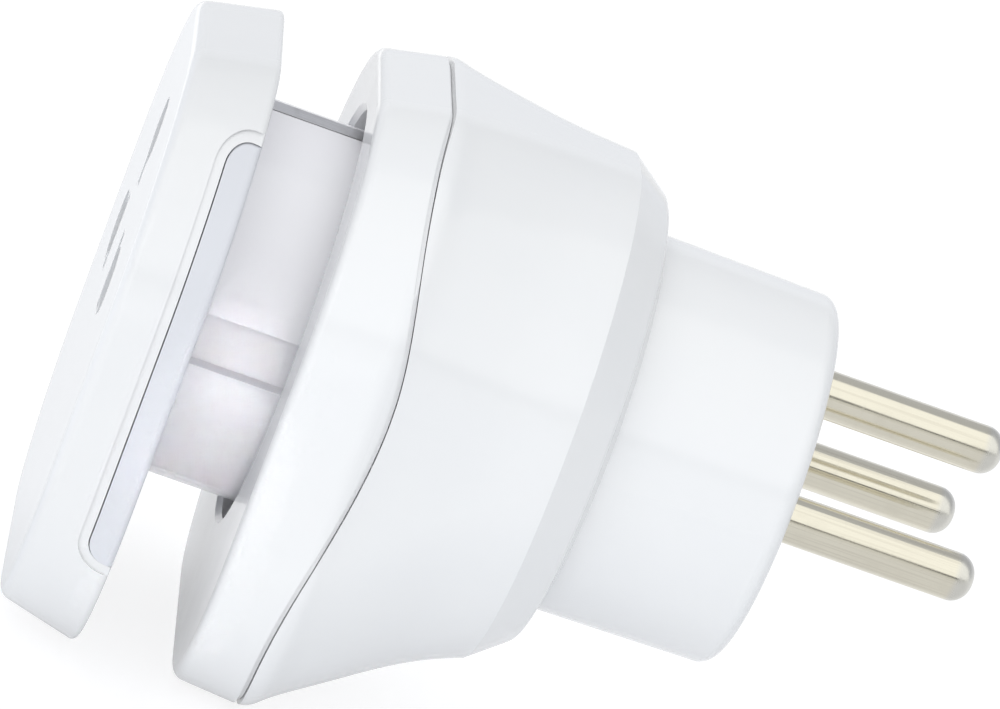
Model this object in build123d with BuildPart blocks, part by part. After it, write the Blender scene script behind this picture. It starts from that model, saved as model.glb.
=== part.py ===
from build123d import *
import os

os.makedirs("parts", exist_ok=True)

# A travel adapter in two units. The base adapter carries three round pins and has a round
# recess at its front. The plug unit has a round European plug body that slides in the recess.
# The origin is the middle of the nose end that lies on the wall. X runs along the line and
# neutral pins, +Y points into the wall, +Z is the side of the earth pin. Distances along the
# axis are counted from the nose end towards the socket side, so they lie at -Y.

# Pins of the base adapter
pin_radius = 2.25
pin_reach = 18.7
pin_spacing = 19.0
pin_tip_share = 0.85
pin_root_step = 0.2
pin_collar_radius = 3.5
pin_collar_thickness = 1.5
pin_tail_radius = 1.5
pin_head_radius = 1.9
pin_head_thickness = 0.8

# Base housing along the axis
nose_length = 17.3
shoulder_slope = 0.8
bevel_length = 3.8
flare_length = 17.5
cover_depth = 7.2

# Base housing across the axis, in steps from the pins outwards: half width, rise above the
# axis and drop below it, from nose to shoulder, crease and belt, and in again to the front
nose_margin = 8.2
nose_taper = 0.3
shoulder_side_step = 3.3
shoulder_rise_step = 3.2
shoulder_drop_step = 3.3
bevel_side_step = 3.3
bevel_rise_step = 2.6
bevel_drop_step = 2.5
flare_side_step = 5.0
flare_rise_step = 1.2
flare_drop_step = 8.0
front_side_step = 1.2
front_rise_step = 1.5
front_drop_step = 0.4
nose_end_round = 1.5
belt_round = 2.5
front_round = 1.2
shoulder_round = 1.0

# Corner radii over the half width, upper and lower corners
front_corner_shares = (0.72, 0.60)
belt_corner_shares = (0.73, 0.60)
crease_corner_shares = (0.93, 0.92)
shoulder_corner_shares = (0.975, 0.975)

# The flare between belt and crease: way along it, then what is left over the crease of the
# half width and rise, and of the drop
flare_shares = (
    (0, 1, 1),
    (0.10, 0.82, 0.88),
    (0.32, 0.55, 0.66),
    (0.55, 0.30, 0.41),
    (0.78, 0.12, 0.17),
    (1, 0, 0),
)

# The wavy seam: height over the belt half width, wave over its full depth
seam_setback = 6.2
seam_wave = 2.7
seam_gap = 0.06
seam_lip_width = 0.42
seam_lip_depth = 0.5
seam_shares = (
    (-1.40, 0.18),
    (-1.05, 0.09),
    (-0.78, -0.05),
    (-0.55, 0.15),
    (-0.32, 0.60),
    (-0.12, 0.91),
    (0.04, 1),
    (0.20, 0.89),
    (0.39, 0.54),
    (0.56, 0.19),
    (0.70, 0.01),
    (0.79, 0.02),
    (0.85, 0.18),
    (1.40, 0.45),
)

# Base walls and the tongue that laps the seam
wall = 2.0
tongue_thickness = 1.1
tongue_reach = 2.5
tongue_clearance = 0.15
nose_wall = 2.2
end_wall = 3.0

# Recess of the base
recess_clearance = 1.9
recess_depth = 17.5
recess_wall = 1.6
recess_floor = 1.8
recess_mouth_bevel = 0.5
rib_width = 4.4
rib_reach = 3.6
rib_setback = 1.0
clip_slot_width = 7.0
clip_slot_land = 2.0
clip_slot_inset = 0.6

# Retainer, carrier and screws of the base
retainer_thickness = 1.6
retainer_clearance = 0.3
carrier_thickness = 2.8
carrier_clearance = 0.7
carrier_tube_wall = 1.2
carrier_tube_length = 9.0
boss_radius = 3.1
boss_side_step = 1.5
boss_rise_step = 0.5
spacer_radius = 3.4
screw_radius = 1.45
screw_head_radius = 2.4
screw_head_thickness = 1.5
screw_length = 16.0
screw_clearance = 0.15
screw_hole_spare = 1.0
drive_width = 0.6
drive_length = 3.0
drive_depth = 0.8

# Contact sleeves of the base
sleeve_wall = 0.8
sleeve_clearance = 0.1
sleeve_end = 2.0
sleeve_slit_width = 0.9
sleeve_slit_length = 12.0
sleeve_recess = 0.6
mouth_clearance = 0.3

# Earth strap and clips of the base
strap_thickness = 0.8
strap_width = 6.4
clip_thickness = 0.6
clip_width = 6.0
clip_foot = 6.0
clip_bend = 1.0
clip_gap = 0.1
clip_offset = 0.7
clip_length = 20.0
clip_bump_shares = (0.62, 0.84, 1)
clip_rivet_setback = 3.7
clip_rivet_radius = 1.1
rivet_head_radius = 1.8
rivet_head_thickness = 0.5

# Plug unit housing along the axis
pulled_out = 9.1
plug_unit_depth = 7.8

# Plug unit housing across the axis, in steps in from the belt to the rim and to the face
rim_side_step = 0.4
rim_rise_step = 1.3
rim_drop_step = 0.6
face_side_step = 1.2
face_rise_step = 1.6
face_drop_step = 1.8
face_corner_shares = (0.73, 0.60)
rim_corner_shares = (0.73, 0.60)
face_round = 1.3
rim_round = 0.5
face_thickness = 2.0
side_wall = 1.8
back_thickness = 2.0
housing_clearance = 0.1
pad_margin = 1.3
pad_depth = 2.7
pad_border = 0.9
pad_border_depth = 0.25
pad_round = 2.0

# Plug body
plug_margin = 8.2
plug_wall = 1.8
plug_end_wall = 2.2
plug_floor_clearance = 0.2
plug_end_round = 1.0
groove_clearance = 0.2
groove_depth = 2.3
groove_wall = 1.7

# Pins of the plug unit
plug_pin_radius = 2.41
plug_pin_reach = 19.0
plug_pin_collar_radius = 3.5
plug_pin_collar_thickness = 1.5

# Earth yoke of the plug unit
yoke_thickness = 0.8
yoke_width = 3.2
yoke_fit = 0.1
yoke_end_margin = 1.0
yoke_plate_gap = 0.75
yoke_bend = 1.2
yoke_collar_side = 6.6
yoke_collar_margin = 0.6

# Socket openings of the face
hole_radius = 3.1
blade_spacing = 12.7
blade_slot_width = 2.2
blade_slot_length = 7.4
slanted_spacing = 15.8
slant_angle = 30
earth_hole_rise = 11.9
earth_blade_rise = 10.3

# Socket contacts of the plug unit
leaf_thickness = 0.6
leaf_width = 7.0
leaf_inner_step = 4.5
leaf_outer_step = 2.8
leaf_length = 12.5
leaf_flare = 0.4
leaf_flare_length = 2.5
leaf_bend = 0.9
earth_leaf_x = 3.3
earth_leaf_width = 6.0
earth_leaf_length = 12.0
earth_flange_x = 6.2
yoke_rivet_radius = 0.55
yoke_rivet_x = 5.1
yoke_rivet_step = 3.6
yoke_rivet_head_radius = 0.8
yoke_rivet_head_thickness = 0.4

# Carrier plate and screws of the plug unit
plate_edge_clearance = 0.4
plate_thickness = 2.4
plate_boss_radius = 2.6
plate_screw_low = 9.0
plate_screw_high = 4.5
plate_screw_radius = 1.0
plate_screw_head_radius = 1.9
plate_screw_head_thickness = 1.2
plate_screw_length = 4.8
plate_clearance = 0.3
cover_boss_radius = 3.0
cover_boss_gap = 0.1
cover_boss_split = 3.2
cover_upper_side_step = 1.8
cover_upper_rise_step = 4.7
cover_lower_side_step = 1.3
cover_lower_drop_step = 3.8
cover_screw_radius = 1.1
cover_screw_head_radius = 2.1
cover_screw_head_thickness = 1.2
cover_screw_length = 3.8
cover_head_recess = 0.2
small_drive_length = 2.4
small_drive_depth = 0.5

fit = 0.05
overrun = 2.0

# Sizes across the axis, worked out from the steps above
earth_pin_rise = pin_spacing / 2
pin_root_radius = pin_radius + pin_root_step
plug_pin_root_radius = plug_pin_radius + pin_root_step
nose_end_radius = pin_spacing / 2 + nose_margin
nose_root_radius = nose_end_radius + nose_taper
shoulder_side = nose_root_radius + shoulder_side_step
shoulder_rise = nose_root_radius + shoulder_rise_step
shoulder_drop = nose_root_radius + shoulder_drop_step
crease_side = shoulder_side + bevel_side_step
crease_rise = shoulder_rise + bevel_rise_step
crease_drop = shoulder_drop + bevel_drop_step
belt_side = crease_side + flare_side_step
belt_rise = crease_rise + flare_rise_step
belt_drop = crease_drop + flare_drop_step
front_side = belt_side - front_side_step
front_rise = belt_rise - front_rise_step
front_drop = belt_drop - front_drop_step
rim_side = belt_side - rim_side_step
rim_rise = belt_rise - rim_rise_step
rim_drop = belt_drop - rim_drop_step
face_side = rim_side - face_side_step
face_rise = rim_rise - face_rise_step
face_drop = rim_drop - face_drop_step
plug_radius = pin_spacing / 2 + plug_margin
recess_radius = plug_radius + recess_clearance
carrier_radius = shoulder_side - wall - carrier_clearance
boss_x = pin_spacing / 2 - boss_side_step
boss_z = pin_spacing / 2 + boss_rise_step
pad_half_length = plug_radius + pad_margin
hole_spacing = pin_spacing
leaf_inner_x = hole_spacing / 2 - leaf_inner_step
leaf_outer_x = hole_spacing / 2 + leaf_outer_step
plate_radius = plug_radius - plug_wall - plate_edge_clearance
cover_upper_x = plug_radius + cover_upper_side_step
cover_upper_z = plug_radius - cover_upper_rise_step
cover_lower_x = plug_radius + cover_lower_side_step
cover_lower_z = plug_radius + cover_lower_drop_step

# Stations along the axis, worked out from the lengths above
shoulder_at = nose_length + shoulder_slope
crease_at = shoulder_at + bevel_length
belt_at = crease_at + flare_length
front_at = belt_at + cover_depth
seam_distance = front_at - seam_setback
floor_at = front_at - recess_depth
floor_back_at = floor_at - recess_floor
ledge_at = shoulder_at + wall
carrier_front_at = ledge_at + carrier_thickness
retainer_front_at = end_wall + retainer_thickness
sleeve_mouth_at = floor_back_at - sleeve_recess
sleeve_floor_at = retainer_front_at + sleeve_end
sleeve_bore = plug_pin_radius + sleeve_clearance
sleeve_radius = sleeve_bore + sleeve_wall
screw_tip_at = floor_back_at - screw_length
strap_front_at = carrier_front_at + strap_thickness
clip_front_at = strap_front_at + clip_thickness
rivet_end_at = carrier_front_at - carrier_thickness / 2
clip_z = recess_radius + clip_offset + clip_thickness
clip_rivet_z = clip_z - clip_rivet_setback
clip_slot_height = recess_wall + 2 * clip_slot_inset
clip_slot_z = recess_radius + recess_wall / 2
rib_x = recess_radius + (recess_wall / 2 - rib_reach) / 2
nose_bore = nose_end_radius - nose_wall
rim_at = front_at + pulled_out
face_at = rim_at + plug_unit_depth
plug_end_at = rim_at - recess_depth + plug_floor_clearance
plug_end_back_at = plug_end_at + plug_end_wall
contact_at = plug_end_back_at + plug_pin_collar_thickness
contact_front_at = contact_at + leaf_thickness
plate_back_at = contact_front_at + leaf_bend
plate_front_at = plate_back_at + plate_thickness
plate_screw_tip_at = plate_front_at - plate_screw_length
pad_at = rim_at + pad_depth - housing_clearance
yoke_at = pad_at + yoke_plate_gap
yoke_front_at = yoke_at + yoke_thickness
yoke_end_at = plug_end_at + yoke_end_margin
yoke_z = plug_radius - yoke_thickness / 2
cover_head_at = rim_at + cover_head_recess
cover_screw_tip_at = cover_head_at + cover_screw_head_thickness + cover_screw_length
face_back_at = face_at - face_thickness
boss_split_at = rim_at + cover_boss_split

front_size = (front_side, front_rise, front_drop) + front_corner_shares
belt_size = (belt_side, belt_rise, belt_drop) + belt_corner_shares
crease_size = (crease_side, crease_rise, crease_drop) + crease_corner_shares
shoulder_size = (shoulder_side, shoulder_rise, shoulder_drop) + shoulder_corner_shares
face_size = (face_side, face_rise, face_drop) + face_corner_shares
rim_size = (rim_side, rim_rise, rim_drop) + rim_corner_shares


def across(distance):
    """The plane across the axis at this distance, with Z upright and its normal to -Y."""
    return Plane.XZ.offset(distance)


def between(start, end, share):
    """The outline sizes part of the way from one to the other."""
    return tuple(a + share * (b - a) for a, b in zip(start, end))


def outline(distance, size, inset=0):
    """A rounded square across the axis, drawn in on all sides by the inset."""
    side, rise, drop, top_share, bottom_share = size
    with BuildSketch(across(distance)) as shape:
        with Locations((0, (rise - drop) / 2)):
            Rectangle(2 * (side - inset), rise + drop - 2 * inset)
        fillet(shape.vertices().group_by(Axis.Y)[-1], side * top_share - inset)
        fillet(shape.vertices().group_by(Axis.Y)[0], side * bottom_share - inset)
    return shape.sketch


def disc(distance, radius, places=((0, 0),)):
    """Circles across the axis at this distance."""
    with BuildSketch(across(distance)) as shape:
        with Locations(*places):
            Circle(radius)
    return shape.sketch


def bar(distance, width, height, places=((0, 0),)):
    """Rectangles across the axis at this distance."""
    with BuildSketch(across(distance)) as shape:
        with Locations(*places):
            Rectangle(width, height)
    return shape.sketch


def base_space(inset, skin):
    """The base housing drawn in by the inset at its sides and by the skin at both ends."""
    front = outline(front_at - skin, between(front_size, belt_size, skin / cover_depth), inset)
    end = outline(shoulder_at + skin, between(shoulder_size, crease_size, skin / bevel_length), inset)
    flare = []
    for way, upper_share, drop_share in flare_shares:
        side, rise, _, top_share, bottom_share = between(crease_size, belt_size, upper_share)
        drop = crease_drop + drop_share * (belt_drop - crease_drop)
        size = (side, rise, drop, top_share, bottom_share)
        flare.append(outline(belt_at - way * flare_length, size, inset))
    with BuildPart() as space:
        loft([front, outline(belt_at, belt_size, inset)])
        loft(flare)
        loft([outline(crease_at, crease_size, inset), end])
    return space.part


def unit_space(inset, skin):
    """The plug unit's housing drawn in by the inset at its sides and by the skin at its face."""
    face = outline(face_at - skin, between(face_size, rim_size, skin / plug_unit_depth), inset)
    with BuildPart() as space:
        loft([outline(rim_at, rim_size, inset), face])
    return space.part


def side_notch(depth, half_length, corner):
    """A flat block through both sides of the plug unit, from its rim towards its face."""
    with BuildPart() as block:
        with BuildSketch(Plane.YZ) as shape:
            with Locations((-rim_at - (depth - overrun) / 2, 0)):
                Rectangle(depth + overrun, 2 * half_length)
            fillet(shape.vertices().group_by(Axis.X)[0], corner)
        extrude(amount=rim_side + overrun, both=True)
    return block.part


def seam_front(shift):
    """The space in front of the wavy seam, moved towards the wall by the shift."""
    reach = front_at + overrun
    points = [
        (shift - seam_distance + wave * seam_wave, height * belt_side)
        for height, wave in seam_shares
    ]
    with BuildPart() as space:
        with BuildSketch(Plane.YZ):
            with BuildLine():
                seam = Spline(*points)
                Polyline(seam @ 1, (-reach, points[-1][1]), (-reach, points[0][1]), seam @ 0)
            make_face()
        extrude(amount=belt_side + overrun, both=True)
    return space.part


def bent_strip(plane, points, thickness, width, bend):
    """A strip of sheet metal bent along the points, to the left of them."""
    with BuildPart() as strip:
        with BuildSketch(plane):
            with BuildLine():
                FilletPolyline(*points, radius=bend)
                offset(amount=thickness, side=Side.LEFT)
            make_face()
        extrude(amount=width / 2, both=True)
    return strip.part


def cross_cut(distance, length, places):
    """The two crossed drive slots in each screw head."""
    with BuildSketch(across(distance)) as shape:
        with Locations(*places):
            Rectangle(drive_width, length)
            Rectangle(length, drive_width)
    return shape.sketch


def finish(piece, label):
    """Name the piece and write it to its own file."""
    piece.part.label = label
    export_step(piece.part, f"parts/{label}.step")


def socket_holes(distance):
    """The line and neutral openings: round pins, straight blades and slanted blades."""
    with BuildSketch(across(distance)) as shape:
        for way in (-1, 1):
            with Locations((way * hole_spacing / 2, 0)):
                Circle(hole_radius)
            with Locations((way * blade_spacing / 2, 0)):
                Rectangle(blade_slot_width, blade_slot_length)
            with Locations((way * slanted_spacing / 2, 0)):
                Rectangle(blade_slot_width, blade_slot_length, rotation=way * slant_angle)
    return shape.sketch


def earth_hole(distance):
    """The earth opening: a round pin or an upright blade."""
    with BuildSketch(across(distance)) as shape:
        with Locations((0, earth_hole_rise)):
            Circle(hole_radius)
        with Locations((0, earth_blade_rise)):
            Rectangle(blade_slot_width, blade_slot_length)
    return shape.sketch


line_place = (pin_spacing / 2, 0)
neutral_place = (-pin_spacing / 2, 0)
earth_place = (0, earth_pin_rise)
pole_places = (line_place, neutral_place)
pin_places = (line_place, neutral_place, earth_place)
boss_places = [(x, z) for x in (-boss_x, boss_x) for z in (-boss_z, boss_z)]
rivet_places = [(0, -clip_rivet_z), (0, clip_rivet_z)]
plate_screw_places = [(0, -plate_screw_low), (0, plate_screw_high)]
cover_screw_places = [
    (way * x, z)
    for way in (-1, 1)
    for x, z in ((cover_upper_x, cover_upper_z), (cover_lower_x, -cover_lower_z))
]
yoke_rivet_places = [
    (x, earth_hole_rise + way * yoke_rivet_step / 2)
    for x in (-yoke_rivet_x, yoke_rivet_x)
    for way in (-1, 1)
]

# Outer body of the base, shared by its two mouldings
with BuildPart() as base_body:
    add(base_space(0, 0))
    fillet(base_body.edges().filter_by(lambda e: abs(e.center().Y + belt_at) < fit), belt_round)
    fillet(base_body.faces().sort_by(Axis.Y)[0].edges(), front_round)
    fillet(base_body.faces().sort_by(Axis.Y)[-1].edges(), shoulder_round)

# Rear shell of the base: flare, shoulder and nose
with BuildPart() as base_rear_shell:
    add(base_body.part)
    add(seam_front(seam_gap), mode=Mode.SUBTRACT)
    with BuildSketch(Plane.XY):
        with BuildLine():
            Polyline(
                (0, 0),
                (nose_end_radius, 0),
                (nose_root_radius, -nose_length),
                (shoulder_rise - shoulder_round, -shoulder_at),
                (shoulder_rise - shoulder_round, -ledge_at),
                (0, -ledge_at),
                close=True,
            )
        make_face()
    revolve(axis=Axis.Y)
    fillet(base_rear_shell.faces().sort_by(Axis.Y)[-1].edges(), nose_end_round)
    add(base_space(wall, wall), mode=Mode.SUBTRACT)
    extrude(disc(end_wall, nose_bore), amount=ledge_at - end_wall, mode=Mode.SUBTRACT)
    extrude(disc(end_wall, boss_radius, boss_places), amount=ledge_at - end_wall)
    extrude(
        disc(screw_tip_at - screw_hole_spare, screw_radius + fit, boss_places),
        amount=ledge_at - screw_tip_at + screw_hole_spare,
        mode=Mode.SUBTRACT,
    )
    extrude(disc(0, pin_root_radius + fit, pin_places), amount=end_wall, mode=Mode.SUBTRACT)
    extrude(
        disc(end_wall - pin_collar_thickness, pin_collar_radius + fit, pin_places),
        amount=pin_collar_thickness,
        mode=Mode.SUBTRACT,
    )
finish(base_rear_shell, "base_rear_shell")

# Tongue of the front cover, which laps the seam inside the rear shell
with BuildPart() as tongue:
    add(base_space(wall + tongue_clearance, wall))
    add(seam_front(tongue_reach), mode=Mode.INTERSECT)

# Shallow lip along the front cover's edge at the seam
with BuildPart() as seam_lip:
    add(seam_front(0))
    add(seam_front(-seam_lip_width), mode=Mode.SUBTRACT)
    add(base_space(seam_lip_depth, 0), mode=Mode.SUBTRACT)

# Front cover of the base: face, recess with its floor, ribs and screw spacers
with BuildPart() as base_front_cover:
    add(base_body.part)
    add(seam_front(0), mode=Mode.INTERSECT)
    add(seam_lip.part, mode=Mode.SUBTRACT)
    add(tongue.part)
    add(base_space(wall + tongue_clearance + tongue_thickness, wall), mode=Mode.SUBTRACT)
    extrude(disc(floor_back_at, recess_radius + recess_wall), amount=recess_depth + recess_floor)
    extrude(disc(carrier_front_at, spacer_radius, boss_places), amount=floor_back_at - carrier_front_at)
    extrude(disc(floor_at, recess_radius), amount=recess_depth, mode=Mode.SUBTRACT)
    chamfer(
        base_front_cover.edges()
        .filter_by(GeomType.CIRCLE)
        .filter_by(lambda e: abs(e.radius - recess_radius) < fit)
        .sort_by(Axis.Y)[0],
        recess_mouth_bevel,
    )
    extrude(
        bar(floor_at, rib_reach + recess_wall / 2, rib_width, [(-rib_x, 0), (rib_x, 0)]),
        amount=recess_depth - rib_setback,
    )
    extrude(
        bar(floor_back_at, clip_slot_width, clip_slot_height, [(0, -clip_slot_z), (0, clip_slot_z)]),
        amount=recess_depth + recess_floor - clip_slot_land,
        mode=Mode.SUBTRACT,
    )
    extrude(
        disc(floor_back_at, plug_pin_radius + mouth_clearance, pole_places),
        amount=recess_floor,
        mode=Mode.SUBTRACT,
    )
    extrude(
        disc(carrier_front_at, screw_radius + screw_clearance, boss_places),
        amount=floor_back_at - carrier_front_at,
        mode=Mode.SUBTRACT,
    )
    extrude(
        disc(floor_back_at, screw_head_radius + screw_clearance, boss_places),
        amount=recess_floor,
        mode=Mode.SUBTRACT,
    )
finish(base_front_cover, "base_front_cover")


def round_pin(place, tip_at, radius, root, collar_at, collar, tail_at, label):
    """A round pin with a domed tip, a root in its wall, a collar behind it and a riveted tail."""
    root_at, root_radius = root
    collar_radius, collar_thickness = collar
    with BuildPart() as pin:
        extrude(disc(tip_at, radius, [place]), amount=root_at - tip_at)
        fillet(pin.edges().sort_by(Axis.Y)[-1], radius * pin_tip_share)
        extrude(disc(root_at, root_radius, [place]), amount=collar_at - root_at)
        extrude(disc(collar_at, collar_radius, [place]), amount=collar_thickness)
        extrude(disc(collar_at, pin_tail_radius, [place]), amount=tail_at - collar_at)
        extrude(disc(tail_at, pin_head_radius, [place]), amount=pin_head_thickness)
    finish(pin, label)


# Three round pins of the base
base_root = (0, pin_root_radius)
base_collar = (pin_collar_radius, pin_collar_thickness)
base_collar_at = end_wall - pin_collar_thickness
for label, place, tail_at in (
    ("pin_line", line_place, sleeve_floor_at),
    ("pin_neutral", neutral_place, sleeve_floor_at),
    ("pin_earth", earth_place, strap_front_at),
):
    round_pin(
        place,
        -pin_reach,
        pin_radius,
        base_root,
        base_collar_at,
        base_collar,
        tail_at,
        label,
    )

# Retainer plate over the pin collars
with BuildPart() as pin_retainer:
    extrude(disc(end_wall, nose_bore - retainer_clearance), amount=retainer_thickness)
    extrude(
        disc(end_wall, boss_radius + retainer_clearance, boss_places),
        amount=retainer_thickness,
        mode=Mode.SUBTRACT,
    )
    extrude(
        disc(end_wall, pin_tail_radius + fit, pin_places),
        amount=retainer_thickness,
        mode=Mode.SUBTRACT,
    )
finish(pin_retainer, "pin_retainer")

# Slotted spring sleeves for the plug pins
for label, place in (("contact_sleeve_line", line_place), ("contact_sleeve_neutral", neutral_place)):
    with BuildPart() as sleeve:
        extrude(
            disc(retainer_front_at, sleeve_radius, [place]),
            amount=sleeve_mouth_at - retainer_front_at,
        )
        extrude(
            disc(sleeve_floor_at, sleeve_bore, [place]),
            amount=sleeve_mouth_at - sleeve_floor_at,
            mode=Mode.SUBTRACT,
        )
        extrude(
            disc(retainer_front_at, pin_tail_radius + fit, [place]),
            amount=sleeve_end,
            mode=Mode.SUBTRACT,
        )
        for width, height in (
            (sleeve_slit_width, 2 * sleeve_radius + overrun),
            (2 * sleeve_radius + overrun, sleeve_slit_width),
        ):
            extrude(
                bar(sleeve_mouth_at - sleeve_slit_length, width, height, [place]),
                amount=sleeve_slit_length,
                mode=Mode.SUBTRACT,
            )
    finish(sleeve, label)

# Carrier plate that holds the sleeves and the earth strap
with BuildPart() as contact_carrier:
    extrude(disc(ledge_at, carrier_radius), amount=carrier_thickness)
    tube_bore = sleeve_radius + sleeve_clearance
    extrude(
        disc(ledge_at - carrier_tube_length, tube_bore + carrier_tube_wall, pole_places),
        amount=carrier_tube_length,
    )
    extrude(
        disc(ledge_at - carrier_tube_length, tube_bore, pole_places),
        amount=carrier_tube_length + carrier_thickness,
        mode=Mode.SUBTRACT,
    )
    extrude(
        disc(ledge_at, screw_radius + screw_clearance, boss_places),
        amount=carrier_thickness,
        mode=Mode.SUBTRACT,
    )
    extrude(
        disc(ledge_at, pin_tail_radius + fit, [earth_place]),
        amount=carrier_thickness,
        mode=Mode.SUBTRACT,
    )
    extrude(
        disc(rivet_end_at, clip_rivet_radius + fit, rivet_places),
        amount=carrier_front_at - rivet_end_at,
        mode=Mode.SUBTRACT,
    )
finish(contact_carrier, "contact_carrier")

# Earth strap across the carrier plate
with BuildPart() as earth_strap:
    extrude(bar(carrier_front_at, strap_width, 2 * carrier_radius), amount=strap_thickness)
    extrude(
        disc(carrier_front_at, pin_tail_radius + fit, [earth_place]),
        amount=strap_thickness,
        mode=Mode.SUBTRACT,
    )
    extrude(
        disc(carrier_front_at, clip_rivet_radius + fit, rivet_places),
        amount=strap_thickness,
        mode=Mode.SUBTRACT,
    )
finish(earth_strap, "earth_strap")

# Spring clips that reach through the recess wall to the arms of the plug's yoke
clip_straight, clip_bump, clip_end = [
    strap_front_at + share * clip_length for share in clip_bump_shares
]
with BuildPart() as earth_clip_upper:
    add(
        bent_strip(
            Plane.YZ,
            [
                (-strap_front_at, clip_z - clip_foot),
                (-strap_front_at, clip_z),
                (-clip_straight, clip_z),
                (-clip_bump, plug_radius + clip_gap + clip_thickness),
                (-clip_end, clip_z),
            ],
            clip_thickness,
            clip_width,
            clip_bend,
        )
    )
    extrude(
        disc(strap_front_at, clip_rivet_radius + fit, rivet_places),
        amount=clip_thickness,
        mode=Mode.SUBTRACT,
    )
finish(earth_clip_upper, "earth_clip_upper")

with BuildPart() as earth_clip_lower:
    mirror(earth_clip_upper.part, about=Plane.XY)
finish(earth_clip_lower, "earth_clip_lower")

# Rivets that join clips, strap and carrier plate
with BuildPart() as earth_clip_rivets:
    extrude(disc(rivet_end_at, clip_rivet_radius, rivet_places), amount=clip_front_at - rivet_end_at)
    extrude(disc(clip_front_at, rivet_head_radius, rivet_places), amount=rivet_head_thickness)
finish(earth_clip_rivets, "earth_clip_rivets")

# Screws that hold front cover, carrier plate and rear shell together
with BuildPart() as housing_screws:
    extrude(disc(screw_tip_at, screw_radius, boss_places), amount=screw_length)
    extrude(disc(floor_back_at, screw_head_radius, boss_places), amount=screw_head_thickness)
    extrude(
        cross_cut(floor_back_at + screw_head_thickness - drive_depth, drive_length, boss_places),
        amount=drive_depth,
        mode=Mode.SUBTRACT,
    )
finish(housing_screws, "housing_screws")

# Outer body of the plug unit, shared by its two mouldings
with BuildPart() as unit_body:
    add(unit_space(0, 0))
    fillet(unit_body.faces().sort_by(Axis.Y)[0].edges(), face_round)
    fillet(unit_body.faces().sort_by(Axis.Y)[-1].edges(), rim_round)

# Shallow step in the front cover round each pad
with BuildPart() as pad_step:
    add(
        side_notch(
            pad_depth + pad_border,
            pad_half_length + pad_border,
            pad_round + pad_border,
        )
    )
    add(unit_space(pad_border_depth, 0), mode=Mode.SUBTRACT)

# Front cover of the plug unit: face with the socket openings, and side wall
with BuildPart() as plug_front_cover:
    add(unit_body.part)
    add(pad_step.part, mode=Mode.SUBTRACT)
    add(unit_space(side_wall, face_thickness), mode=Mode.SUBTRACT)
    add(side_notch(pad_depth, pad_half_length, pad_round), mode=Mode.SUBTRACT)
    extrude(
        disc(boss_split_at, cover_boss_radius, cover_screw_places),
        amount=face_back_at - boss_split_at,
    )
    extrude(
        disc(boss_split_at, cover_screw_radius + fit, cover_screw_places),
        amount=cover_screw_tip_at + fit - boss_split_at,
        mode=Mode.SUBTRACT,
    )
    extrude(socket_holes(face_back_at), amount=face_thickness, mode=Mode.SUBTRACT)
    extrude(earth_hole(face_back_at), amount=face_thickness, mode=Mode.SUBTRACT)
finish(plug_front_cover, "plug_front_cover")

# Side pads of the rear cover, flush with the sides of the plug unit
with BuildPart() as pads:
    add(unit_body.part)
    add(
        side_notch(
            pad_depth - housing_clearance,
            pad_half_length - housing_clearance,
            pad_round - housing_clearance,
        ),
        mode=Mode.INTERSECT,
    )

# Rear cover of the plug unit: back plate with its pads, and the round plug body
with BuildPart() as plug_rear_cover:
    add(unit_space(side_wall + housing_clearance, plug_unit_depth - back_thickness))
    add(pads.part)
    extrude(disc(plug_end_at, plug_radius), amount=rim_at - plug_end_at)
    fillet(plug_rear_cover.faces().sort_by(Axis.Y)[-1].edges(), plug_end_round)
    extrude(
        disc(rim_at, cover_boss_radius, cover_screw_places),
        amount=boss_split_at - cover_boss_gap - rim_at,
    )
    with BuildSketch(across(plug_end_back_at)):
        Circle(plug_radius - plug_wall)
        with Locations((-plug_radius, 0), (plug_radius, 0)):
            Rectangle(
                2 * (groove_depth + groove_wall),
                rib_width + 2 * (groove_clearance + groove_wall),
                mode=Mode.SUBTRACT,
            )
    extrude(amount=pad_at - plug_end_back_at, mode=Mode.SUBTRACT)
    extrude(
        disc(plug_end_back_at, plate_boss_radius, plate_screw_places),
        amount=plate_back_at - plug_end_back_at,
    )
    extrude(
        disc(plate_screw_tip_at - fit, plate_screw_radius + fit, plate_screw_places),
        amount=plate_back_at - plate_screw_tip_at + fit,
        mode=Mode.SUBTRACT,
    )
    extrude(
        bar(
            plug_end_at,
            2 * groove_depth,
            rib_width + 2 * groove_clearance,
            [(-plug_radius, 0), (plug_radius, 0)],
        ),
        amount=rim_at - plug_end_at,
        mode=Mode.SUBTRACT,
    )
    extrude(
        bar(
            yoke_end_at - fit,
            yoke_width + 2 * yoke_fit,
            yoke_thickness + 2 * yoke_fit,
            [(0, -yoke_z), (0, yoke_z)],
        ),
        amount=pad_at + fit - yoke_end_at,
        mode=Mode.SUBTRACT,
    )
    extrude(
        disc(plug_end_at, plug_pin_root_radius + fit, pole_places),
        amount=plug_end_wall,
        mode=Mode.SUBTRACT,
    )
    extrude(
        disc(rim_at, cover_screw_radius + screw_clearance, cover_screw_places),
        amount=boss_split_at - rim_at,
        mode=Mode.SUBTRACT,
    )
    extrude(
        disc(rim_at, cover_screw_head_radius + screw_clearance, cover_screw_places),
        amount=cover_head_recess + cover_screw_head_thickness,
        mode=Mode.SUBTRACT,
    )
finish(plug_rear_cover, "plug_rear_cover")

# Two round pins of the plug unit
plug_root = (plug_end_at, plug_pin_root_radius)
plug_collar = (plug_pin_collar_radius, plug_pin_collar_thickness)
for label, place in (("plug_pin_line", line_place), ("plug_pin_neutral", neutral_place)):
    round_pin(
        place,
        plug_end_at - plug_pin_reach,
        plug_pin_radius,
        plug_root,
        plug_end_back_at,
        plug_collar,
        contact_at + leaf_thickness,
        label,
    )

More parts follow.
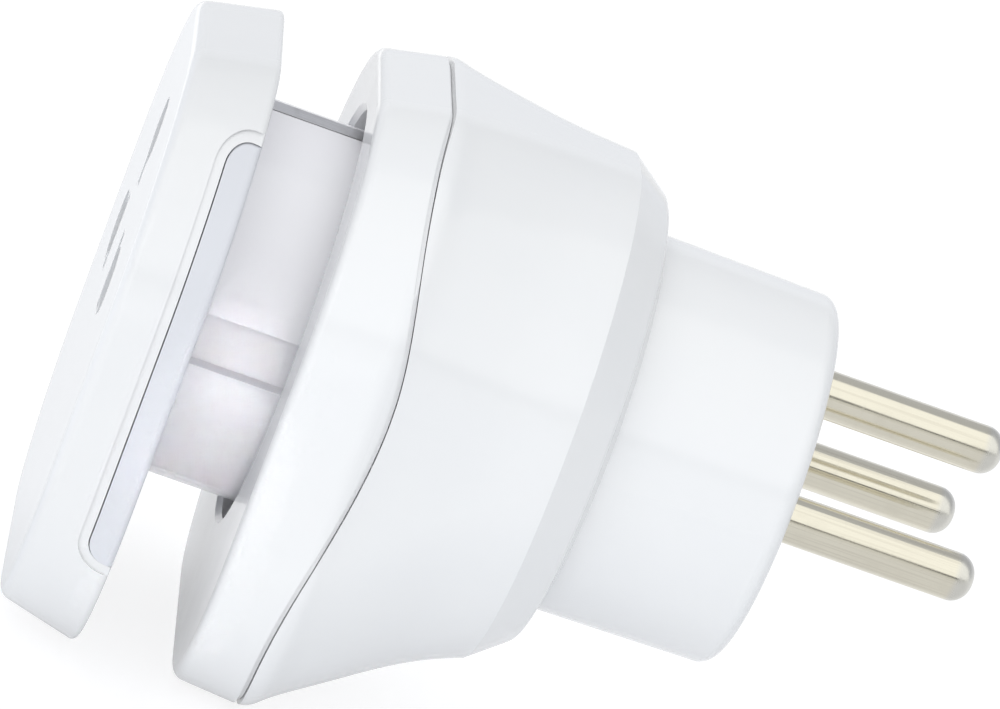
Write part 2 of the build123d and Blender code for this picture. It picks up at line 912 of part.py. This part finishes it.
# Earth yoke: two arms along the plug body, joined across the inside of the plug unit
with BuildPart() as plug_earth_yoke:
    add(
        bent_strip(
            Plane.YZ,
            [
                (-yoke_end_at, plug_radius),
                (-yoke_front_at, plug_radius),
                (-yoke_front_at, -plug_radius),
                (-yoke_end_at, -plug_radius),
            ],
            yoke_thickness,
            yoke_width,
            yoke_bend,
        )
    )
    yoke_collar_height = earth_leaf_width + 2 * yoke_collar_margin
    extrude(
        bar(yoke_at, 2 * yoke_collar_side, yoke_collar_height, [(0, earth_hole_rise)]),
        amount=yoke_thickness,
    )
    extrude(earth_hole(yoke_at), amount=yoke_thickness, mode=Mode.SUBTRACT)
    extrude(
        disc(yoke_at, yoke_rivet_radius + fit, yoke_rivet_places),
        amount=yoke_thickness,
        mode=Mode.SUBTRACT,
    )
finish(plug_earth_yoke, "plug_earth_yoke")

# Line and neutral contacts: one sheet each, bent up into two leaves
leaf_tip_at = contact_at + leaf_length
leaf_knee_at = leaf_tip_at - leaf_flare_length
with BuildPart() as socket_contact_line:
    add(
        bent_strip(
            Plane.XY,
            [
                (leaf_inner_x - leaf_flare, -leaf_tip_at),
                (leaf_inner_x, -leaf_knee_at),
                (leaf_inner_x, -contact_front_at),
                (leaf_outer_x, -contact_front_at),
                (leaf_outer_x, -leaf_knee_at),
                (leaf_outer_x + leaf_flare, -leaf_tip_at),
            ],
            leaf_thickness,
            leaf_width,
            leaf_bend,
        )
    )
    extrude(
        disc(contact_at, pin_tail_radius + fit, [line_place]),
        amount=leaf_thickness,
        mode=Mode.SUBTRACT,
    )
finish(socket_contact_line, "socket_contact_line")

with BuildPart() as socket_contact_neutral:
    mirror(socket_contact_line.part, about=Plane.YZ)
finish(socket_contact_neutral, "socket_contact_neutral")

# Earth contact: a channel with two flanges under the yoke
earth_floor_at = yoke_at - earth_leaf_length
with BuildPart() as socket_contact_earth:
    with BuildSketch(Plane.XY.offset(earth_hole_rise)):
        with BuildLine():
            FilletPolyline(
                (-earth_flange_x, -yoke_at),
                (-earth_leaf_x, -yoke_at),
                (-earth_leaf_x, -earth_floor_at),
                (earth_leaf_x, -earth_floor_at),
                (earth_leaf_x, -yoke_at),
                (earth_flange_x, -yoke_at),
                radius=leaf_bend,
            )
            offset(amount=leaf_thickness, side=Side.LEFT)
        make_face()
    extrude(amount=earth_leaf_width / 2, both=True)
    extrude(
        disc(yoke_at - leaf_thickness, yoke_rivet_radius + fit, yoke_rivet_places),
        amount=leaf_thickness,
        mode=Mode.SUBTRACT,
    )
finish(socket_contact_earth, "socket_contact_earth")

# Rivets between the earth contact and the yoke
with BuildPart() as yoke_rivets:
    extrude(
        disc(yoke_at - leaf_thickness, yoke_rivet_radius, yoke_rivet_places),
        amount=leaf_thickness + yoke_thickness,
    )
    for head_at in (yoke_front_at, yoke_at - leaf_thickness - yoke_rivet_head_thickness):
        extrude(
            disc(head_at, yoke_rivet_head_radius, yoke_rivet_places),
            amount=yoke_rivet_head_thickness,
        )
finish(yoke_rivets, "yoke_rivets")

# Carrier plate between the contacts, cut out round the line and neutral channels
with BuildPart() as plug_contact_carrier:
    extrude(disc(plate_back_at, plate_radius), amount=plate_thickness)
    extrude(
        bar(
            plate_back_at,
            2 * (plug_radius - leaf_inner_x + leaf_thickness + plate_clearance),
            rib_width + 2 * (groove_clearance + groove_wall + plate_clearance),
            [(-plug_radius, 0), (plug_radius, 0)],
        ),
        amount=plate_thickness,
        mode=Mode.SUBTRACT,
    )
    extrude(
        disc(plate_back_at, plate_screw_radius + screw_clearance, plate_screw_places),
        amount=plate_thickness,
        mode=Mode.SUBTRACT,
    )
finish(plug_contact_carrier, "plug_contact_carrier")

# Screws of the carrier plate
with BuildPart() as plug_carrier_screws:
    extrude(disc(plate_screw_tip_at, plate_screw_radius, plate_screw_places), amount=plate_screw_length)
    extrude(
        disc(plate_front_at, plate_screw_head_radius, plate_screw_places),
        amount=plate_screw_head_thickness,
    )
    extrude(
        cross_cut(
            plate_front_at + plate_screw_head_thickness - small_drive_depth,
            small_drive_length,
            plate_screw_places,
        ),
        amount=small_drive_depth,
        mode=Mode.SUBTRACT,
    )
finish(plug_carrier_screws, "plug_carrier_screws")

# Screws that hold the two covers of the plug unit together, sunk in the back plate
with BuildPart() as plug_cover_screws:
    extrude(
        disc(cover_head_at, cover_screw_head_radius, cover_screw_places),
        amount=cover_screw_head_thickness,
    )
    extrude(
        disc(cover_head_at, cover_screw_radius, cover_screw_places),
        amount=cover_screw_head_thickness + cover_screw_length,
    )
    extrude(
        cross_cut(cover_head_at, small_drive_length, cover_screw_places),
        amount=small_drive_depth,
        mode=Mode.SUBTRACT,
    )
finish(plug_cover_screws, "plug_cover_screws")
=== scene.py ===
import math

import bmesh
import bpy
from mathutils import Matrix, Vector


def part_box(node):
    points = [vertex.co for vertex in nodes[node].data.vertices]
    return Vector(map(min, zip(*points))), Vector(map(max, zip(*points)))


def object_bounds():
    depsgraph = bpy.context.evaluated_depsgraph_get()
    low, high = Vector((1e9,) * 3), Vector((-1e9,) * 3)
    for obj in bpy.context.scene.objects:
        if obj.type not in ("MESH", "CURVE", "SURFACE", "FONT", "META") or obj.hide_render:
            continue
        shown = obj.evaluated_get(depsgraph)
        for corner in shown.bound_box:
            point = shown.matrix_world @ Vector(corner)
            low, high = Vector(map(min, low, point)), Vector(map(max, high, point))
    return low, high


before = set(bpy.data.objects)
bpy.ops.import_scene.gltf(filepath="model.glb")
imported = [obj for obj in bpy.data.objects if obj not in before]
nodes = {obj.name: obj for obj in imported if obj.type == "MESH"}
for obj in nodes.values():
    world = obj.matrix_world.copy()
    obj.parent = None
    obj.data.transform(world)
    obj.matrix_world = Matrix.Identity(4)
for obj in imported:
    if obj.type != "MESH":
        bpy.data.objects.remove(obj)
solid_low, solid_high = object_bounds()

# Places from the frame, where Y runs from the socket face to the tips of the pins

middle = (solid_low + solid_high) / 2
floor_height = solid_low.z
socket_face = solid_low.y
pin_tips = solid_high.y
head_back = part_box("plug_front_cover")[1].y

# The camera

picture_width = 1000
sensor_width = 36
view_azimuth, view_elevation, view_roll = math.radians(82.91), math.radians(15.48), math.radians(21.32)
focal_pixels = 6018
aim_right, aim_up, aim_distance = 0.024733, -0.011594, 0.54825


def photo_camera():
    back = Vector((
        math.sin(view_azimuth) * math.cos(view_elevation),
        -math.cos(view_azimuth) * math.cos(view_elevation),
        math.sin(view_elevation),
    ))
    level = (-back).cross(Vector((0, 0, 1))).normalized()
    upright = level.cross(-back)
    right = math.cos(view_roll) * level + math.sin(view_roll) * upright
    up = -math.sin(view_roll) * level + math.cos(view_roll) * upright
    data = bpy.data.cameras.new("photo_camera")
    data.sensor_width = sensor_width
    data.lens = focal_pixels / picture_width * sensor_width
    data.clip_start, data.clip_end = 0.01, 20
    camera = bpy.data.objects.new("photo_camera", data)
    bpy.context.scene.collection.objects.link(camera)
    turn = Matrix((right, up, back)).transposed().to_4x4()
    place = -(aim_right * right + aim_up * up - aim_distance * back)
    camera.matrix_world = Matrix.Translation(place) @ turn
    bpy.context.scene.camera = camera


photo_camera()

# Shader nodes

# The sockets of a Mix node that mixes colours
mix_share, mix_first, mix_second, mix_result = 0, 6, 7, 2


def new_group(name, inputs, outputs):
    group = bpy.data.node_groups.new(name, "ShaderNodeTree")
    for label, kind, value in inputs:
        group.interface.new_socket(label, in_out="INPUT", socket_type=kind).default_value = value
    for label, kind in outputs:
        group.interface.new_socket(label, in_out="OUTPUT", socket_type=kind)
    return group, group.nodes.new("NodeGroupInput"), group.nodes.new("NodeGroupOutput")


def math_node(tree, operation, first, second=0.0, third=0.0):
    node = tree.nodes.new("ShaderNodeMath")
    node.operation = operation
    for socket, value in zip(node.inputs, (first, second, third)):
        if isinstance(value, (int, float)):
            socket.default_value = value
        else:
            tree.links.new(value, socket)
    return node.outputs[0]


def object_place(tree):
    return tree.nodes.new("ShaderNodeTexCoord").outputs["Object"]


def split_axes(tree, vector):
    node = tree.nodes.new("ShaderNodeSeparateXYZ")
    tree.links.new(vector, node.inputs[0])
    return node.outputs


def stretched(tree, vector, scale):
    node = tree.nodes.new("ShaderNodeMapping")
    node.inputs["Scale"].default_value = scale
    tree.links.new(vector, node.inputs["Vector"])
    return node.outputs[0]


def multiplied(tree, first, second):
    node = tree.nodes.new("ShaderNodeVectorMath")
    node.operation = "MULTIPLY"
    tree.links.new(first, node.inputs[0])
    tree.links.new(second, node.inputs[1])
    return node.outputs[0]


def noise(tree, vector, scale, detail=2.0, roughness=0.5):
    node = tree.nodes.new("ShaderNodeTexNoise")
    node.inputs["Scale"].default_value = scale
    node.inputs["Detail"].default_value = detail
    node.inputs["Roughness"].default_value = roughness
    tree.links.new(vector, node.inputs["Vector"])
    return node.outputs["Fac"]


def ramped(tree, value, low, high, to_low=0.0, to_high=1.0):
    node = tree.nodes.new("ShaderNodeMapRange")
    node.interpolation_type = "SMOOTHSTEP"
    for label, number in (("From Min", low), ("From Max", high), ("To Min", to_low), ("To Max", to_high)):
        node.inputs[label].default_value = number
    tree.links.new(value, node.inputs["Value"])
    return node.outputs["Result"]


def mixed(tree, share, first, second):
    node = tree.nodes.new("ShaderNodeMix")
    node.data_type = "RGBA"
    for socket, value in ((mix_share, share), (mix_first, first), (mix_second, second)):
        if isinstance(value, tuple):
            node.inputs[socket].default_value = (*value, 1)
        else:
            tree.links.new(value, node.inputs[socket])
    return node.outputs[mix_result]


def blended_shaders(tree, share, first, second):
    node = tree.nodes.new("ShaderNodeMixShader")
    for socket, value in zip(node.inputs, (share, first, second)):
        tree.links.new(value, socket)
    return node.outputs[0]


def added_shaders(tree, first, second):
    node = tree.nodes.new("ShaderNodeAddShader")
    tree.links.new(first, node.inputs[0])
    tree.links.new(second, node.inputs[1])
    return node.outputs[0]


def light_paths(tree):
    """Masks of the rays that come from the camera, and of those that a mirror or glass sends on."""
    path = tree.nodes.new("ShaderNodeLightPath")
    shiny = math_node(tree, "MAXIMUM", path.outputs["Is Glossy Ray"], path.outputs["Is Transmission Ray"])
    return path.outputs["Is Camera Ray"], shiny


# Shader groups

surface_outputs = (
    ("Colour", "NodeSocketColor"),
    ("Roughness", "NodeSocketFloat"),
    ("Height", "NodeSocketFloat"),
)

# How the scratches and the peel of the mouldings show in gloss and in height
scratch_scales = ((160, 3200, 900), (2600, 240, 500), (900, 700, 5200))
scratch_dulling, scratch_depth = 0.3, 0.35

# How the lines, streaks and tarnish of the metals show in colour, gloss and height
line_stain = 0.6
line_dulling, streak_dulling, stain_dulling, streak_depth = 0.12, 0.06, 0.1, 0.12


def hair_scratches(tree, place):
    """Fine strands in three directions, in patches."""
    hairs = None
    for scale in scratch_scales:
        strand = noise(tree, stretched(tree, place, scale), scale=1, detail=1, roughness=0.4)
        strand = ramped(tree, strand, low=0.68, high=0.75)
        hairs = strand if hairs is None else math_node(tree, "MAXIMUM", hairs, strand)
    patch = ramped(tree, noise(tree, place, scale=55, detail=2), low=0.48, high=0.66)
    return math_node(tree, "MULTIPLY", hairs, patch)


def moulded_surface():
    """Flow marks, orange peel and hair scratches of a glossy moulding."""
    group, given, made = new_group(
        "moulded_surface",
        (
            ("Colour", "NodeSocketColor", (0.8, 0.8, 0.8, 1)),
            ("Flow Colour", "NodeSocketColor", (0.8, 0.8, 0.8, 1)),
            ("Gloss", "NodeSocketFloat", 0.2),
            ("Dulling", "NodeSocketFloat", 0.1),
            ("Peel", "NodeSocketFloat", 0.3),
            ("Scratches", "NodeSocketFloat", 0.3),
        ),
        surface_outputs,
    )
    place = object_place(group)
    flow = noise(group, stretched(group, place, (1, 0.45, 1)), scale=90, detail=3, roughness=0.55)
    flow = ramped(group, flow, low=0.35, high=0.7)
    colour = mixed(group, flow, given.outputs["Colour"], given.outputs["Flow Colour"])
    group.links.new(colour, made.inputs["Colour"])

    hairs = math_node(group, "MULTIPLY", hair_scratches(group, place), given.outputs["Scratches"])
    rubbed = noise(group, place, scale=140, detail=3)
    rubbed = math_node(group, "MULTIPLY", rubbed, given.outputs["Dulling"])
    rough = math_node(group, "ADD", given.outputs["Gloss"], rubbed)
    rough = math_node(group, "MULTIPLY_ADD", hairs, scratch_dulling, rough)
    group.links.new(rough, made.inputs["Roughness"])

    peel = noise(group, place, scale=620, detail=2, roughness=0.45)
    peel = math_node(group, "MULTIPLY", peel, given.outputs["Peel"])
    height = math_node(group, "SUBTRACT", peel, math_node(group, "MULTIPLY", hairs, scratch_depth))
    group.links.new(height, made.inputs["Height"])
    return group


def worked_metal():
    """Lines of turning or rolling in one direction, with rubbed streaks across them and some tarnish."""
    group, given, made = new_group(
        "worked_metal",
        (
            ("Colour", "NodeSocketColor", (0.7, 0.7, 0.7, 1)),
            ("Tarnish", "NodeSocketColor", (0.5, 0.5, 0.5, 1)),
            ("Tarnish Share", "NodeSocketFloat", 0.3),
            ("Gloss", "NodeSocketFloat", 0.2),
            ("Lines", "NodeSocketFloat", 0.3),
            ("Line Scale", "NodeSocketVector", (60, 4000, 60)),
            ("Streak Scale", "NodeSocketVector", (3000, 90, 3000)),
        ),
        surface_outputs,
    )
    place = object_place(group)
    line_place = multiplied(group, place, given.outputs["Line Scale"])
    lines = noise(group, line_place, scale=1, detail=2, roughness=0.6)
    streak_place = multiplied(group, place, given.outputs["Streak Scale"])
    streaks = noise(group, streak_place, scale=1, detail=2, roughness=0.5)
    streaks = ramped(group, streaks, low=0.56, high=0.72)

    stain = ramped(group, noise(group, place, scale=260, detail=3, roughness=0.6), low=0.42, high=0.75)
    stain = math_node(group, "MULTIPLY", stain, given.outputs["Tarnish Share"])
    drawn = ramped(group, lines, low=0.54, high=0.66)
    drawn = math_node(group, "MULTIPLY", drawn, given.outputs["Lines"])
    stain = math_node(group, "MAXIMUM", stain, math_node(group, "MULTIPLY", drawn, line_stain))
    colour = mixed(group, stain, given.outputs["Colour"], given.outputs["Tarnish"])
    group.links.new(colour, made.inputs["Colour"])

    line_roughness = math_node(group, "MULTIPLY", given.outputs["Lines"], line_dulling)
    rough = math_node(group, "MULTIPLY_ADD", lines, line_roughness, given.outputs["Gloss"])
    rough = math_node(group, "MULTIPLY_ADD", streaks, streak_dulling, rough)
    rough = math_node(group, "MULTIPLY_ADD", stain, stain_dulling, rough)
    group.links.new(rough, made.inputs["Roughness"])

    height = math_node(group, "MULTIPLY", lines, given.outputs["Lines"])
    height = math_node(group, "SUBTRACT", height, math_node(group, "MULTIPLY", streaks, streak_depth))
    group.links.new(height, made.inputs["Height"])
    return group


moulded = moulded_surface()
metalwork = worked_metal()

# Materials


def finish_of(name, group, values, bump, bump_depth):
    material = bpy.data.materials.new(name)
    material.use_nodes = True
    tree = material.node_tree
    shader = tree.nodes["Principled BSDF"]
    effect = tree.nodes.new("ShaderNodeGroup")
    effect.node_tree = group
    for label, value in values.items():
        effect.inputs[label].default_value = (*value, 1) if effect.inputs[label].type == "RGBA" else value
    relief = tree.nodes.new("ShaderNodeBump")
    relief.inputs["Strength"].default_value = bump
    relief.inputs["Distance"].default_value = bump_depth
    tree.links.new(effect.outputs["Colour"], shader.inputs["Base Color"])
    tree.links.new(effect.outputs["Roughness"], shader.inputs["Roughness"])
    tree.links.new(effect.outputs["Height"], relief.inputs["Height"])
    tree.links.new(relief.outputs["Normal"], shader.inputs["Normal"])
    return material


def moulded_plastic(name, colour, flow, gloss, dulling, peel, scratches, bump=0.12, bump_depth=0.00004):
    values = {
        "Colour": colour, "Flow Colour": flow, "Gloss": gloss, "Dulling": dulling, "Peel": peel,
        "Scratches": scratches,
    }
    material = finish_of(name, moulded, values, bump, bump_depth)
    material.node_tree.nodes["Principled BSDF"].inputs["IOR"].default_value = 1.5
    return material


def bare_metal(name, colour, tarnish, share, gloss, line_scale, streak_scale, lines=0.5, bump=0.3,
               bump_depth=0.00002):
    values = {
        "Colour": colour, "Tarnish": tarnish, "Tarnish Share": share, "Gloss": gloss, "Lines": lines,
        "Line Scale": line_scale, "Streak Scale": streak_scale,
    }
    material = finish_of(name, metalwork, values, bump, bump_depth)
    material.node_tree.nodes["Principled BSDF"].inputs["Metallic"].default_value = 1.0
    return material


def second_finish_and_painted_light(material, start, full, colour, roughness):
    """A duller finish with its own colour along the axis, beginning at the start and whole from the full
    place on; the colour is painted light on the socket face and painted shade on the plug's head.
    """
    tree = material.node_tree
    shader = tree.nodes["Principled BSDF"]
    share = ramped(tree, split_axes(tree, object_place(tree))["Y"], start, full)
    first_colour = shader.inputs["Base Color"].links[0].from_socket
    first_gloss = shader.inputs["Roughness"].links[0].from_socket
    dull = math_node(tree, "MULTIPLY", share, roughness)
    tree.links.new(mixed(tree, share, first_colour, colour), shader.inputs["Base Color"])
    tree.links.new(math_node(tree, "MAXIMUM", first_gloss, dull), shader.inputs["Roughness"])


white_shell = moulded_plastic(
    "white_shell", colour=(0.885, 0.885, 0.89), flow=(0.874, 0.876, 0.884),
    gloss=0.1, dulling=0.06, peel=0.3, scratches=0.08,
)

# The socket unit's colour, a little darker than the white shells, is painted shade
socket_shell = moulded_plastic(
    "socket_shell", colour=(0.845, 0.845, 0.85), flow=(0.835, 0.836, 0.842),
    gloss=0.12, dulling=0.08, peel=0.3, scratches=0.15,
)
# The socket face is satin, and its colour, lighter and bluer than the rim, is painted light
second_finish_and_painted_light(
    socket_shell, start=socket_face + 0.0007, full=socket_face + 0.0001,
    colour=(0.865, 0.872, 0.892), roughness=0.2,
)

# The plug body's colour is lighter than the white shells: painted light, where the gap between the two
# units shades it
plug_shell = moulded_plastic(
    "plug_shell", colour=(0.91, 0.9, 0.92), flow=(0.9, 0.885, 0.91),
    gloss=0.14, dulling=0.08, peel=0.35, scratches=0.2, bump=0.15,
)
# The pads in the sides of the head, and its back, are satin, and their darker, bluer colour is painted
# shade
second_finish_and_painted_light(
    plug_shell, start=head_back + 0.001, full=head_back + 0.0005,
    colour=(0.705, 0.715, 0.755), roughness=0.3,
)

inner_plastic = moulded_plastic(
    "inner_plastic", colour=(0.66, 0.66, 0.64), flow=(0.6, 0.6, 0.58),
    gloss=0.42, dulling=0.2, peel=0.8, scratches=0.2, bump=0.3, bump_depth=0.00005,
)

nickel_pin = bare_metal(
    "nickel_pin", colour=(0.79, 0.755, 0.64), tarnish=(0.66, 0.62, 0.52), share=0.3, gloss=0.1, lines=0.8,
    line_scale=(3200, 22, 3200), streak_scale=(60, 2400, 60), bump=0.5, bump_depth=0.00003,
)
# The domed tips are duller than the drawn pins
second_finish_and_painted_light(
    nickel_pin, start=pin_tips - 0.0023, full=pin_tips - 0.0015,
    colour=(0.7, 0.69, 0.64), roughness=0.3,
)

contact_brass = bare_metal(
    "contact_brass", colour=(0.74, 0.56, 0.28), tarnish=(0.45, 0.31, 0.14), share=0.5, gloss=0.24,
    line_scale=(2400, 120, 2400), streak_scale=(70, 1800, 70),
)

earth_strip = bare_metal(
    "earth_strip", colour=(0.5, 0.5, 0.51), tarnish=(0.34, 0.33, 0.32), share=0.4, gloss=0.28,
    line_scale=(2600, 90, 2600), streak_scale=(70, 1500, 70),
)

steel_fastener = bare_metal(
    "steel_fastener", colour=(0.58, 0.58, 0.6), tarnish=(0.42, 0.41, 0.36), share=0.5, gloss=0.25,
    line_scale=(50, 4200, 50), streak_scale=(1800, 80, 1800),
)

finishes = (
    (white_shell, ("base_front_cover", "base_rear_shell")),
    (socket_shell, ("plug_front_cover",)),
    (plug_shell, ("plug_rear_cover",)),
    (inner_plastic, ("pin_retainer", "contact_carrier", "plug_contact_carrier")),
    (nickel_pin, ("pin_line", "pin_neutral", "pin_earth", "plug_pin_line", "plug_pin_neutral")),
    (contact_brass, (
        "contact_sleeve_line", "contact_sleeve_neutral", "socket_contact_line", "socket_contact_neutral",
        "socket_contact_earth", "yoke_rivets", "earth_clip_rivets",
    )),
    (earth_strip, ("earth_strap", "earth_clip_upper", "earth_clip_lower", "plug_earth_yoke")),
    (steel_fastener, ("housing_screws", "plug_carrier_screws", "plug_cover_screws")),
)
for material, names in finishes:
    for name in names:
        nodes[name].data.materials.clear()
        nodes[name].data.materials.append(material)

# The floor

floor_radius = 1.6
floor_segments = 96
floor_middle = -0.03
seen_brightness = 0.8

# A mirroring surface sees the floor darker than the camera does, most on the camera's side, and brighter
# beyond the socket face
far_change, near_change, end_change = -0.1, -0.29, 0.5
far_side, near_side = -0.03, 0.01
end_start, end_full = -0.095, -0.13

# The paint glows a little under the base and the plug
card_glow = 0.1
card_start, card_full = 0.02, -0.04


def floor_as_seen(tree, axes, shiny):
    """Near white with the object's shadow on it, and with its own brightness where a surface mirrors it."""
    shadow = tree.nodes.new("ShaderNodeBsdfDiffuse")
    shadow.inputs["Color"].default_value = (0.3, 0.3, 0.31, 1)
    across = ramped(tree, axes["X"], far_side, near_side, far_change, near_change)
    along = ramped(tree, axes["Y"], end_start, end_full, to_high=end_change)
    change = math_node(tree, "ADD", across, along)
    glow = tree.nodes.new("ShaderNodeEmission")
    brightness = math_node(tree, "MULTIPLY_ADD", shiny, change, seen_brightness)
    tree.links.new(brightness, glow.inputs["Strength"])
    return added_shaders(tree, shadow.outputs[0], glow.outputs[0])


def floor_as_light(tree, place, axes):
    """Pale paint that throws light back at the object, and that glows a little under it."""
    paint = tree.nodes.new("ShaderNodeBsdfDiffuse")
    grain = noise(tree, place, scale=900, detail=3)
    tree.links.new(mixed(tree, grain, (0.89, 0.905, 0.93), (0.92, 0.935, 0.96)), paint.inputs["Color"])
    card = tree.nodes.new("ShaderNodeEmission")
    strength = ramped(tree, axes["Y"], card_start, card_full, to_high=card_glow)
    tree.links.new(strength, card.inputs["Strength"])
    return added_shaders(tree, paint.outputs[0], card.outputs[0])


def floor_material():
    material = bpy.data.materials.new("pale_floor")
    material.use_nodes = True
    tree = material.node_tree
    tree.nodes.clear()
    place = object_place(tree)
    axes = split_axes(tree, place)
    direct, shiny = light_paths(tree)
    shown = math_node(tree, "MAXIMUM", shiny, direct)
    seen = floor_as_seen(tree, axes, shiny)
    floor = blended_shaders(tree, shown, floor_as_light(tree, place, axes), seen)
    out = tree.nodes.new("ShaderNodeOutputMaterial")
    tree.links.new(floor, out.inputs["Surface"])
    return material


def pale_floor():
    mesh = bmesh.new()
    bmesh.ops.create_circle(mesh, cap_ends=True, segments=floor_segments, radius=floor_radius)
    bmesh.ops.translate(mesh, verts=mesh.verts, vec=(0, floor_middle, floor_height))
    data = bpy.data.meshes.new("pale_floor")
    mesh.to_mesh(data)
    mesh.free()
    data.materials.append(floor_material())
    floor = bpy.data.objects.new("pale_floor", data)
    bpy.context.scene.collection.objects.link(floor)


pale_floor()

# The room

# What a shiny surface mirrors, as shares of the half turn from the camera's side over the top, each with
# its brightness: a pale band, a dark line, the long light, a dimmer wall and a pale band again
mirror_bands = (
    (0.0, 0.74), (0.036, 0.74), (0.046, 0.08), (0.076, 0.08), (0.088, 1.17), (0.53, 1.17), (0.555, 0.53),
    (0.84, 0.56), (0.88, 0.85), (1.0, 0.85),
)
light_tint, wall_tint = (1, 1, 0.98), (0.97, 0.99, 1.05)
wall_start = 0.54

# The light that dull surfaces get: along the axis and added to it from the sides, and its level, with what
# it loses from straight above and from the pins' end
end_light, side_light = 0.3, 1.1
room_level, loss_above, loss_at_pins = 1.03, 0.12, 0.24


def mirrored_room(tree, axes):
    bands = tree.nodes.new("ShaderNodeValToRGB")
    ramp = bands.color_ramp
    ramp.elements[0].position, ramp.elements[1].position = mirror_bands[0][0], mirror_bands[-1][0]
    for position, _ in mirror_bands[1:-1]:
        ramp.elements.new(position)
    for element, (position, brightness) in zip(ramp.elements, mirror_bands):
        tint = wall_tint if position > wall_start else light_tint
        element.color = (*(brightness * share for share in tint), 1)
    turn = math_node(tree, "ARCTAN2", axes["Z"], axes["X"])
    tree.links.new(math_node(tree, "DIVIDE", turn, math.pi), bands.inputs[0])
    background = tree.nodes.new("ShaderNodeBackground")
    tree.links.new(bands.outputs[0], background.inputs["Color"])
    return background.outputs[0]


def lit_room(tree, axes):
    """Light from all sides, weaker along the axis, and a little weaker from above and the pins' end."""
    around = math_node(tree, "SUBTRACT", 1, math_node(tree, "MULTIPLY", axes["Y"], axes["Y"]))
    tent = math_node(tree, "MULTIPLY_ADD", math_node(tree, "POWER", around, 2), side_light, end_light)
    dome = math_node(tree, "MULTIPLY_ADD", axes["Z"], -loss_above, room_level)
    dome = math_node(tree, "MULTIPLY_ADD", axes["Y"], -loss_at_pins, dome)
    background = tree.nodes.new("ShaderNodeBackground")
    background.inputs["Color"].default_value = (0.965, 0.985, 1.0, 1)
    tree.links.new(math_node(tree, "MULTIPLY", tent, dome), background.inputs["Strength"])
    return background.outputs[0]


def studio_surround():
    """White where the camera looks, and a pale room with a long overhead light where surfaces mirror it."""
    world = bpy.data.worlds.new("studio_surround")
    bpy.context.scene.world = world
    world.use_nodes = True
    tree = world.node_tree
    tree.nodes.clear()
    axes = split_axes(tree, tree.nodes.new("ShaderNodeTexCoord").outputs["Generated"])
    white = tree.nodes.new("ShaderNodeBackground")
    white.inputs["Color"].default_value = (1, 1, 1, 1)
    direct, shiny = light_paths(tree)
    room = blended_shaders(tree, shiny, lit_room(tree, axes), mirrored_room(tree, axes))
    surround = blended_shaders(tree, direct, room, white.outputs[0])
    out = tree.nodes.new("ShaderNodeOutputWorld")
    tree.links.new(surround, out.inputs["Surface"])


studio_surround()

# The lamps

# Where the narrow lamp shines in between the two units
gap_place = -0.0513


def softbox(name, place, aim, size, watts, colour=(1, 1, 1), spread=180, mirrored=True):
    data = bpy.data.lights.new(name, "AREA")
    data.shape = "RECTANGLE"
    data.size, data.size_y = size
    data.energy = watts
    data.color = colour
    data.spread = math.radians(spread)
    lamp = bpy.data.objects.new(name, data)
    bpy.context.scene.collection.objects.link(lamp)
    lamp.location = place
    lamp.rotation_mode = "QUATERNION"
    lamp.rotation_quaternion = (Vector(aim) - Vector(place)).to_track_quat("-Z", "Y")
    lamp.visible_glossy = mirrored


softbox(
    "key_box", place=(0.95, -0.09, 0.1), aim=middle, size=(0.7, 0.55), watts=1.12,
    colour=(1, 0.995, 0.98), mirrored=False,
)
softbox("front_box", place=(0.6, -0.75, 0.14), aim=middle, size=(0.3, 0.8), watts=0.7)
softbox(
    "gap_box", place=(0.3, gap_place, -0.022), aim=(0, gap_place, -0.012), size=(0.005, 0.03),
    watts=0.00038, colour=(0.98, 0.98, 1), spread=3,
)

bpy.context.scene.view_settings.view_transform = "Standard"
